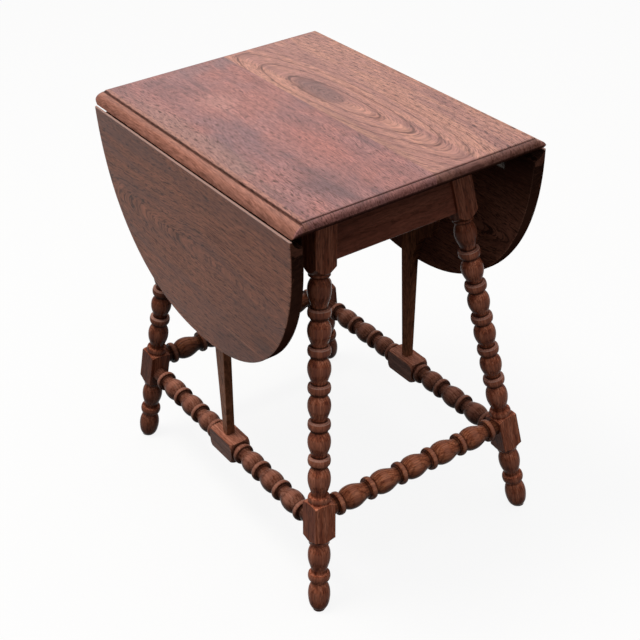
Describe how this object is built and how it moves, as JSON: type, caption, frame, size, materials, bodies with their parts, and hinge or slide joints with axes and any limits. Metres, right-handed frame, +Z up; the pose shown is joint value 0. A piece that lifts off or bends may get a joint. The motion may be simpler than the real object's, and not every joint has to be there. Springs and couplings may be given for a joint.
{
  "type": "drop-leaf side table",
  "caption": "Drop-leaf side table with a moulded top, D-shaped leaves on rule joints, swing brackets and splayed bobbin-turned legs joined by turned stretchers.",
  "frame": {"origin": "on the floor, under the middle of the top", "axes": "+Z up; X across the table from the left leaf to the right leaf; -Y towards the front end"},
  "size_m": [0.3978, 0.5276, 0.61],
  "materials": {
    "walnut_top": "oiled, satin, reddish brown walnut",
    "walnut_leaf": "oiled, satin, dark brown walnut",
    "walnut_rail": "dark stained, satin",
    "walnut_turned": "dark reddish stain, polished",
    "hardwood_block": "bare hardwood",
    "walnut_bracket": "stained, dull",
    "hinge_steel": "darkened plain steel",
    "pin_steel": "plain steel pin",
    "screw_steel": "plain steel countersunk screw"
  },
  "bodies": {
    "frame": {"top_board_left": "walnut_top", "top_board_right": "walnut_top", "end_rail_front": "walnut_rail", "end_rail_rear": "walnut_rail", "side_rail_left": "walnut_rail", "side_rail_right": "walnut_rail", "leg_front_left": "walnut_turned", "leg_front_right": "walnut_turned", "leg_rear_left": "walnut_turned", "leg_rear_right": "walnut_turned", "end_stretcher_front": "walnut_turned", "end_stretcher_rear": "walnut_turned", "side_stretcher_left": "walnut_turned", "side_stretcher_right": "walnut_turned", "corner_block_front_left": "hardwood_block", "corner_block_front_right": "hardwood_block", "corner_block_rear_left": "hardwood_block", "corner_block_rear_right": "hardwood_block", "hinge_fixed_plate_left_front": "hinge_steel", "hinge_fixed_plate_left_rear": "hinge_steel", "hinge_fixed_plate_right_front": "hinge_steel", "hinge_fixed_plate_right_rear": "hinge_steel", "hinge_pins_left": "pin_steel", "hinge_pins_right": "pin_steel", "top_screws": "screw_steel", "hinge_fixed_screws_left": "screw_steel", "hinge_fixed_screws_right": "screw_steel"},
    "leaf_left": {"leaf_left": "walnut_leaf", "hinge_moving_plate_left_front": "hinge_steel", "hinge_moving_plate_left_rear": "hinge_steel", "hinge_moving_screws_left": "screw_steel"},
    "leaf_right": {"leaf_right": "walnut_leaf", "hinge_moving_plate_right_front": "hinge_steel", "hinge_moving_plate_right_rear": "hinge_steel", "hinge_moving_screws_right": "screw_steel"},
    "bracket_left": {"swing_bracket_left": "walnut_bracket", "bracket_pins_left": "pin_steel"},
    "bracket_right": {"swing_bracket_right": "walnut_bracket", "bracket_pins_right": "pin_steel"}
  },
  "joints": [
    {"name": "leaf_left_hinge", "type": "hinge", "parent": "frame", "child": "leaf_left", "pos_m": [-0.1806, 0, 0.5917], "axis": [0, 1, 0], "range_deg": [0, 91.2]},
    {"name": "leaf_right_hinge", "type": "hinge", "parent": "frame", "child": "leaf_right", "pos_m": [0.1806, 0, 0.5917], "axis": [0, -1, 0], "range_deg": [0, 91.2]},
    {"name": "bracket_left_swing", "type": "hinge", "parent": "frame", "child": "bracket_left", "pos_m": [-0.16644, 0, 0.1445], "axis": [0, 0, -1], "range_deg": [-16, 2]},
    {"name": "bracket_right_swing", "type": "hinge", "parent": "frame", "child": "bracket_right", "pos_m": [0.16644, 0, 0.1445], "axis": [0, 0, 1], "range_deg": [-16, 2]}
  ]
}
